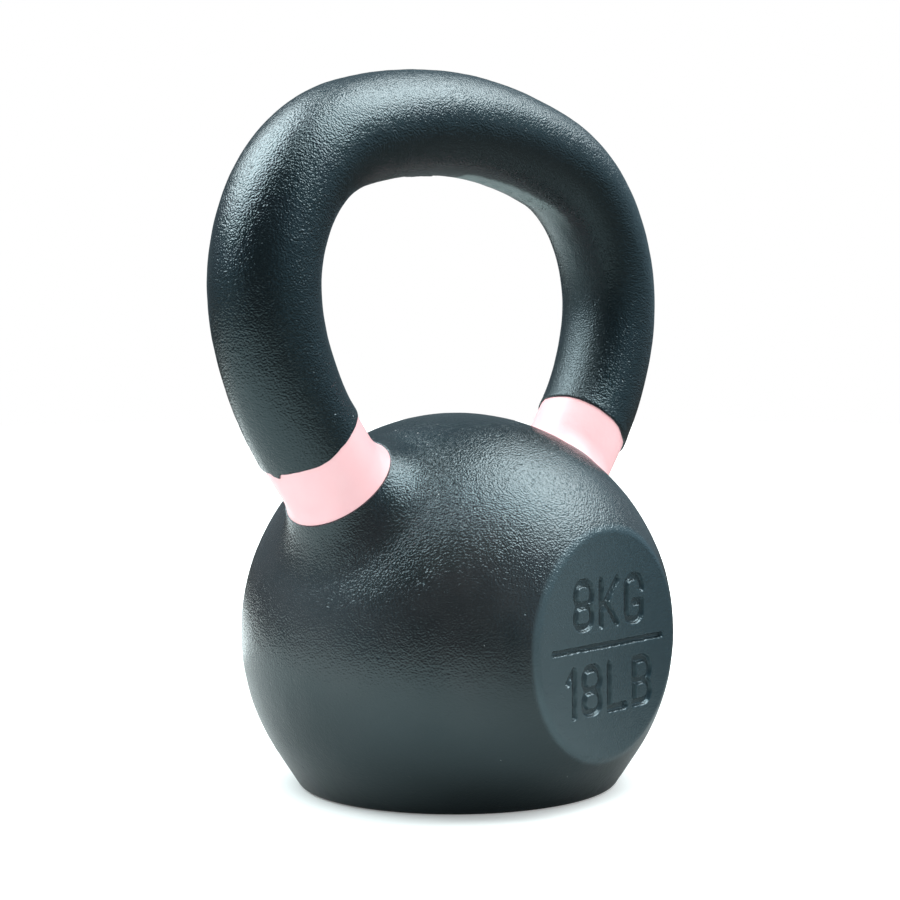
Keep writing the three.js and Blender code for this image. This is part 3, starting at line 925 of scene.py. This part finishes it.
def coat_tone(tree, pits, ground):
    """Patchy black, with a painted sheen round the bell and painted reflections on the marked face.
    """
    tone = mixed_colour(tree, lumps(tree, BLACK_PATCH), *BLACKS)
    # Painted sheen: paler round the bell's belly, for the reflected light there.
    top, bottom = (fade(tree, axis(tree, "Z"), *heights) for heights in (PAINTED_SHEEN_TOP, PAINTED_SHEEN_BOTTOM))
    painted_sheen = maths(tree, "MULTIPLY", maths(tree, "MULTIPLY", top, bottom), lumps(tree, PAINTED_SHEEN_PATCH))
    tone = mixed_colour(tree, painted_sheen, tone, PAINTED_SHEEN_TONE)
    # Painted reflection on the marked face, lighter on the left and darker on the right as painted
    # shading.
    on_face = fade(tree, axis(tree, "Y"), *(depth - FACE_OFFSET for depth in FACE_REFLECTION_DEPTH))
    face_reflection = mixed_colour(tree, fade(tree, axis(tree, "X"), *FACE_REFLECTION_RUN), *FACE_PAINTED_REFLECTIONS)
    tone = mixed_colour(tree, on_face, tone, face_reflection)
    tone = mixed_colour(tree, pits, tone, PIT_TONE)
    tone = mixed_colour(tree, dust(tree), tone, DUST_TONE)
    # Painted highlight: paler on the ground strip under the grip.
    return mixed_colour(tree, ground, tone, GROUND_PAINTED_HIGHLIGHT)


def coat_roughness(tree, inward, ground):
    """Semi-gloss, duller inside the loop and glossier where it was ground."""
    rough = spread(tree, lumps(tree, ROUGHNESS_PATCH), *COAT_ROUGHNESS)
    inside = remapped(tree, inward, *INSIDE_FACING)
    rough = maths(tree, "ADD", rough, maths(tree, "MULTIPLY", inside, INSIDE_ROUGHER))
    return maths(tree, "SUBTRACT", rough, maths(tree, "MULTIPLY", ground, GROUND_SMOOTHER))


def bumpy(tree, surface, height, strength, distance):
    """Gives a surface a bump, whose full height is a distance in millimetres."""
    values = {"Height": height, "Strength": strength, "Distance": distance * MM}
    bump = add_node(tree, "ShaderNodeBump", values)
    tree.links.new(bump.outputs["Normal"], surface.inputs["Normal"])


def black_powder_coat():
    """Textured black powder coat over sand-cast iron."""
    material, tree, surface = new_material("black_powder_coat")
    pits = spots(tree, PIT_SPACING, PIT_RADIUS)
    inward = facing_loop(tree)
    ground = ground_strip_and_highlight(tree, inward)
    bumpy(tree, surface, coat_height(tree, pits), BUMP_STRENGTH, BUMP_HEIGHT)
    tree.links.new(coat_tone(tree, pits, ground), surface.inputs["Base Color"])
    tree.links.new(coat_roughness(tree, inward, ground), surface.inputs["Roughness"])
    surface.inputs["Specular IOR Level"].default_value = COAT_SPECULAR
    surface.inputs["Specular Tint"].default_value = COAT_SPECULAR_TINT
    return material


# ------------------------------------------------------------------ the pink paint

PINKS = ((0.99, 0.55, 0.58), (0.98, 0.60, 0.62))
PINK_PATCH = 5.0
PAINT_ROUGHNESS = (0.33, 0.43)
PAINT_ROUGHNESS_PATCH = 2.0
PAINT_SPECULAR = 0.35
PAINT_FLOW_SIZE = 2.5
PAINT_GRAIN_SIZE = 0.6
PAINT_GRAIN_SHARE = 0.15
PAINT_BUMP_STRENGTH = 0.6
PAINT_BUMP_HEIGHT = 0.1


def pink_paint():
    """Smooth semi-gloss pale pink paint."""
    material, tree, surface = new_material("pink_paint")
    tone = mixed_colour(tree, lumps(tree, PINK_PATCH), *PINKS)
    tree.links.new(tone, surface.inputs["Base Color"])
    rough = spread(tree, lumps(tree, PAINT_ROUGHNESS_PATCH), *PAINT_ROUGHNESS)
    tree.links.new(rough, surface.inputs["Roughness"])
    surface.inputs["Specular IOR Level"].default_value = PAINT_SPECULAR
    grain = maths(tree, "MULTIPLY", lumps(tree, PAINT_GRAIN_SIZE), PAINT_GRAIN_SHARE)
    height = maths(tree, "ADD", lumps(tree, PAINT_FLOW_SIZE), grain)
    bumpy(tree, surface, height, PAINT_BUMP_STRENGTH, PAINT_BUMP_HEIGHT)
    return material


# ------------------------------------------------------------------ studio, in metres

OBJECT_MIDDLE = Vector((0, 0, handle_high.z / 2)) * MM

CAMERA_AZIMUTH = -49.41
CAMERA_ELEVATION = 2.06
CAMERA_ROLL = -0.36
CAMERA_DISTANCE = 0.5249
CAMERA_TARGET = Vector((-0.0011, 0.0013, 0.0944))
CAMERA_LENS = 73.64
CAMERA_CLIP = 0.01

SOFTBOX_DISTANCE = 0.9
SOFTBOXES = [  # name, azimuth, elevation, width, height and radiance
    ("right_softbox", 56, 58, 0.76, 0.80, 5.9),
    ("left_softbox", -140, 56, 0.76, 0.76, 7.6),
]

AMBIENT = 0.66
ROOM_LEVEL = 0.5  # of the room where surfaces reflect it
ROOM_TINT = (0.56, 0.84, 1.0)
BACKDROP_PLACE = (152.0, -20.0)  # azimuth and elevation of the studio's dim far end
BACKDROP_EDGE = (0.3, 0.86)
BACKDROP_LEVEL = 0.22
BACKDROP_TINT = (0.62, 0.86, 1.0)
PHOTOGRAPHER_PLACE = (-54.0, 20.0)  # where the studio is darker
PHOTOGRAPHER_EDGE = (0.58, 0.92)
PHOTOGRAPHER_SHADE = 0.22

FLOOR_SIZE = 8.0
FLOOR_LEVEL = -0.0001  # just under the foot
FLOOR_ROUGHNESS = 0.9
FLOOR_WHITE = 0.86
FLOOR_TINT = (0.90, 1.0, 1.0)
FLOOR_GLOW = 0.1  # near the object, so that its shadow shows
FLOOR_BOUNCE = 0.7
POOL_CENTRE = (-0.13, 0.16, 0.0)  # a painted pool of light in the floor's colour, seen in reflections
POOL_NEAR = 0.12
POOL_FAR = 0.5
POOL_LEVEL = 0.46
BEYOND_POOL_LEVEL = 0.08
GLARE_CENTRE = (0.14, 0.38, 0.0)  # a painted bright patch behind the object, seen in reflections
GLARE_NEAR = 0.1
GLARE_FAR = 0.26
GLARE_LEVEL = 1.05
WHITE = (1.0, 1.0, 1.0)


def direction(azimuth, elevation):
    """Azimuth 0 looks at the front face, and 90 looks at the right side."""
    turn, rise = math.radians(azimuth), math.radians(elevation)
    level = math.cos(rise)
    return Vector((math.sin(turn) * level, -math.cos(turn) * level, math.sin(rise)))


def by_ray(tree, seen, reflected, lighting):
    """One value for the camera's rays, one for what reflects or shines through, one for light."""
    rays = add_node(tree, "ShaderNodeLightPath").outputs
    mirrored = maths(tree, "MAXIMUM", rays["Is Glossy Ray"], rays["Is Transmission Ray"])
    rest = maths(tree, "SUBTRACT", 1.0, maths(tree, "MAXIMUM", rays["Is Camera Ray"], mirrored))
    total = maths(tree, "MULTIPLY", rays["Is Camera Ray"], seen)
    total = maths(tree, "ADD", total, maths(tree, "MULTIPLY", mirrored, reflected))
    return maths(tree, "ADD", total, maths(tree, "MULTIPLY", rest, lighting))


def make_camera():
    """The camera at the photograph's viewing angle."""
    camera = bpy.data.cameras.new("camera")
    camera.lens = CAMERA_LENS
    camera.clip_start = CAMERA_CLIP
    view = bpy.data.objects.new("camera", camera)
    towards = direction(CAMERA_AZIMUTH, CAMERA_ELEVATION)
    roll = Matrix.Rotation(math.radians(CAMERA_ROLL), 3, "Z")
    turn = towards.to_track_quat("Z", "Y").to_matrix() @ roll
    view.matrix_world = Matrix.Translation(CAMERA_TARGET + towards * CAMERA_DISTANCE) @ turn.to_4x4()
    bpy.context.scene.collection.objects.link(view)
    bpy.context.scene.camera = view


def make_softbox(name, azimuth, elevation, width, height, radiance):
    """A rectangular lamp that looks at the middle of the object."""
    light = bpy.data.lights.new(name, "AREA")
    light.shape = "RECTANGLE"
    light.size, light.size_y = width, height
    light.energy = radiance * math.pi * width * height
    lamp = bpy.data.objects.new(name, light)
    towards = direction(azimuth, elevation)
    lamp.location = OBJECT_MIDDLE + towards * SOFTBOX_DISTANCE
    lamp.rotation_euler = towards.to_track_quat("Z", "Y").to_euler()
    bpy.context.scene.collection.objects.link(lamp)


def looking_at(tree, place, edge):
    """1 where the sky is seen towards a place in the studio, and 0 beyond its soft edge."""
    sky = add_node(tree, "ShaderNodeTexCoord").outputs["Generated"]
    squarely = vector_maths(tree, "DOT_PRODUCT", sky, tuple(direction(*place)), result="Value")
    return remapped(tree, squarely, *edge)


def make_world():
    """White for the camera. Reflections show a dimmer room with a dim far end and a dark side."""
    world = bpy.data.worlds.new("studio")
    bpy.context.scene.world = world
    world.use_nodes = True
    tree = world.node_tree
    background = tree.nodes["Background"]
    backdrop = looking_at(tree, BACKDROP_PLACE, BACKDROP_EDGE)
    dark_side = looking_at(tree, PHOTOGRAPHER_PLACE, PHOTOGRAPHER_EDGE)
    level = spread(tree, backdrop, ROOM_LEVEL, BACKDROP_LEVEL)
    level = maths(tree, "MULTIPLY", level, spread(tree, dark_side, 1.0, PHOTOGRAPHER_SHADE))
    tree.links.new(by_ray(tree, 1.0, level, AMBIENT), background.inputs["Strength"])
    mirrored = add_node(tree, "ShaderNodeLightPath").outputs["Is Glossy Ray"]
    colour = mixed_colour(tree, backdrop, ROOM_TINT, BACKDROP_TINT)
    colour = mixed_colour(tree, mirrored, WHITE, colour)
    tree.links.new(colour, background.inputs["Color"])


def distance_from(tree, centre):
    """Distances from a place, in metres."""
    return vector_maths(tree, "DISTANCE", place_of(tree), centre, result="Value")


def floor_material():
    """White floor for the camera. Reflections show a painted pool of light and a painted bright patch
    on it.
    """
    material, tree, surface = new_material("studio_floor")
    surface.inputs["Roughness"].default_value = FLOOR_ROUGHNESS
    surface.inputs["Specular IOR Level"].default_value = 0.0
    surface.inputs["Emission Color"].default_value = (*WHITE, 1.0)
    # A painted pool of light and a painted bright patch, in the colour that reflections see.
    far = remapped(tree, distance_from(tree, POOL_CENTRE), POOL_NEAR, POOL_FAR)
    pool = spread(tree, far, POOL_LEVEL, BEYOND_POOL_LEVEL)
    glare = remapped(tree, distance_from(tree, GLARE_CENTRE), GLARE_FAR, GLARE_NEAR)
    reflected = maths(tree, "MAXIMUM", pool, maths(tree, "MULTIPLY", glare, GLARE_LEVEL))
    tint = {0: FLOOR_TINT, "Scale": by_ray(tree, FLOOR_WHITE, reflected, FLOOR_BOUNCE)}
    colour = add_node(tree, "ShaderNodeVectorMath", tint, operation="SCALE").outputs["Vector"]
    tree.links.new(colour, surface.inputs["Base Color"])
    glow = by_ray(tree, spread(tree, far, FLOOR_GLOW, 1.0), 0.0, 0.0)
    tree.links.new(glow, surface.inputs["Emission Strength"])
    return material


def make_floor():
    """A large square floor."""
    half = FLOOR_SIZE / 2
    corners = [(x * half, y * half, FLOOR_LEVEL) for x, y in ((-1, -1), (1, -1), (1, 1), (-1, 1))]
    mesh = bpy.data.meshes.new("studio_floor")
    mesh.from_pydata(corners, [], [(0, 1, 2, 3)])
    mesh.materials.append(floor_material())
    floor = bpy.data.objects.new("studio_floor", mesh)
    bpy.context.scene.collection.objects.link(floor)


# ------------------------------------------------------------------ the scene

make_camera()
for softbox in SOFTBOXES:
    make_softbox(*softbox)
make_world()
make_floor()

iron = black_powder_coat()
pink = pink_paint()
make_bell(iron)
make_handle(iron)
make_band(-1, "left_band_skin", "left_colour_band", pink)
make_band(1, "right_band_skin", "right_colour_band", pink)

bpy.context.scene.view_settings.view_transform = "Standard"
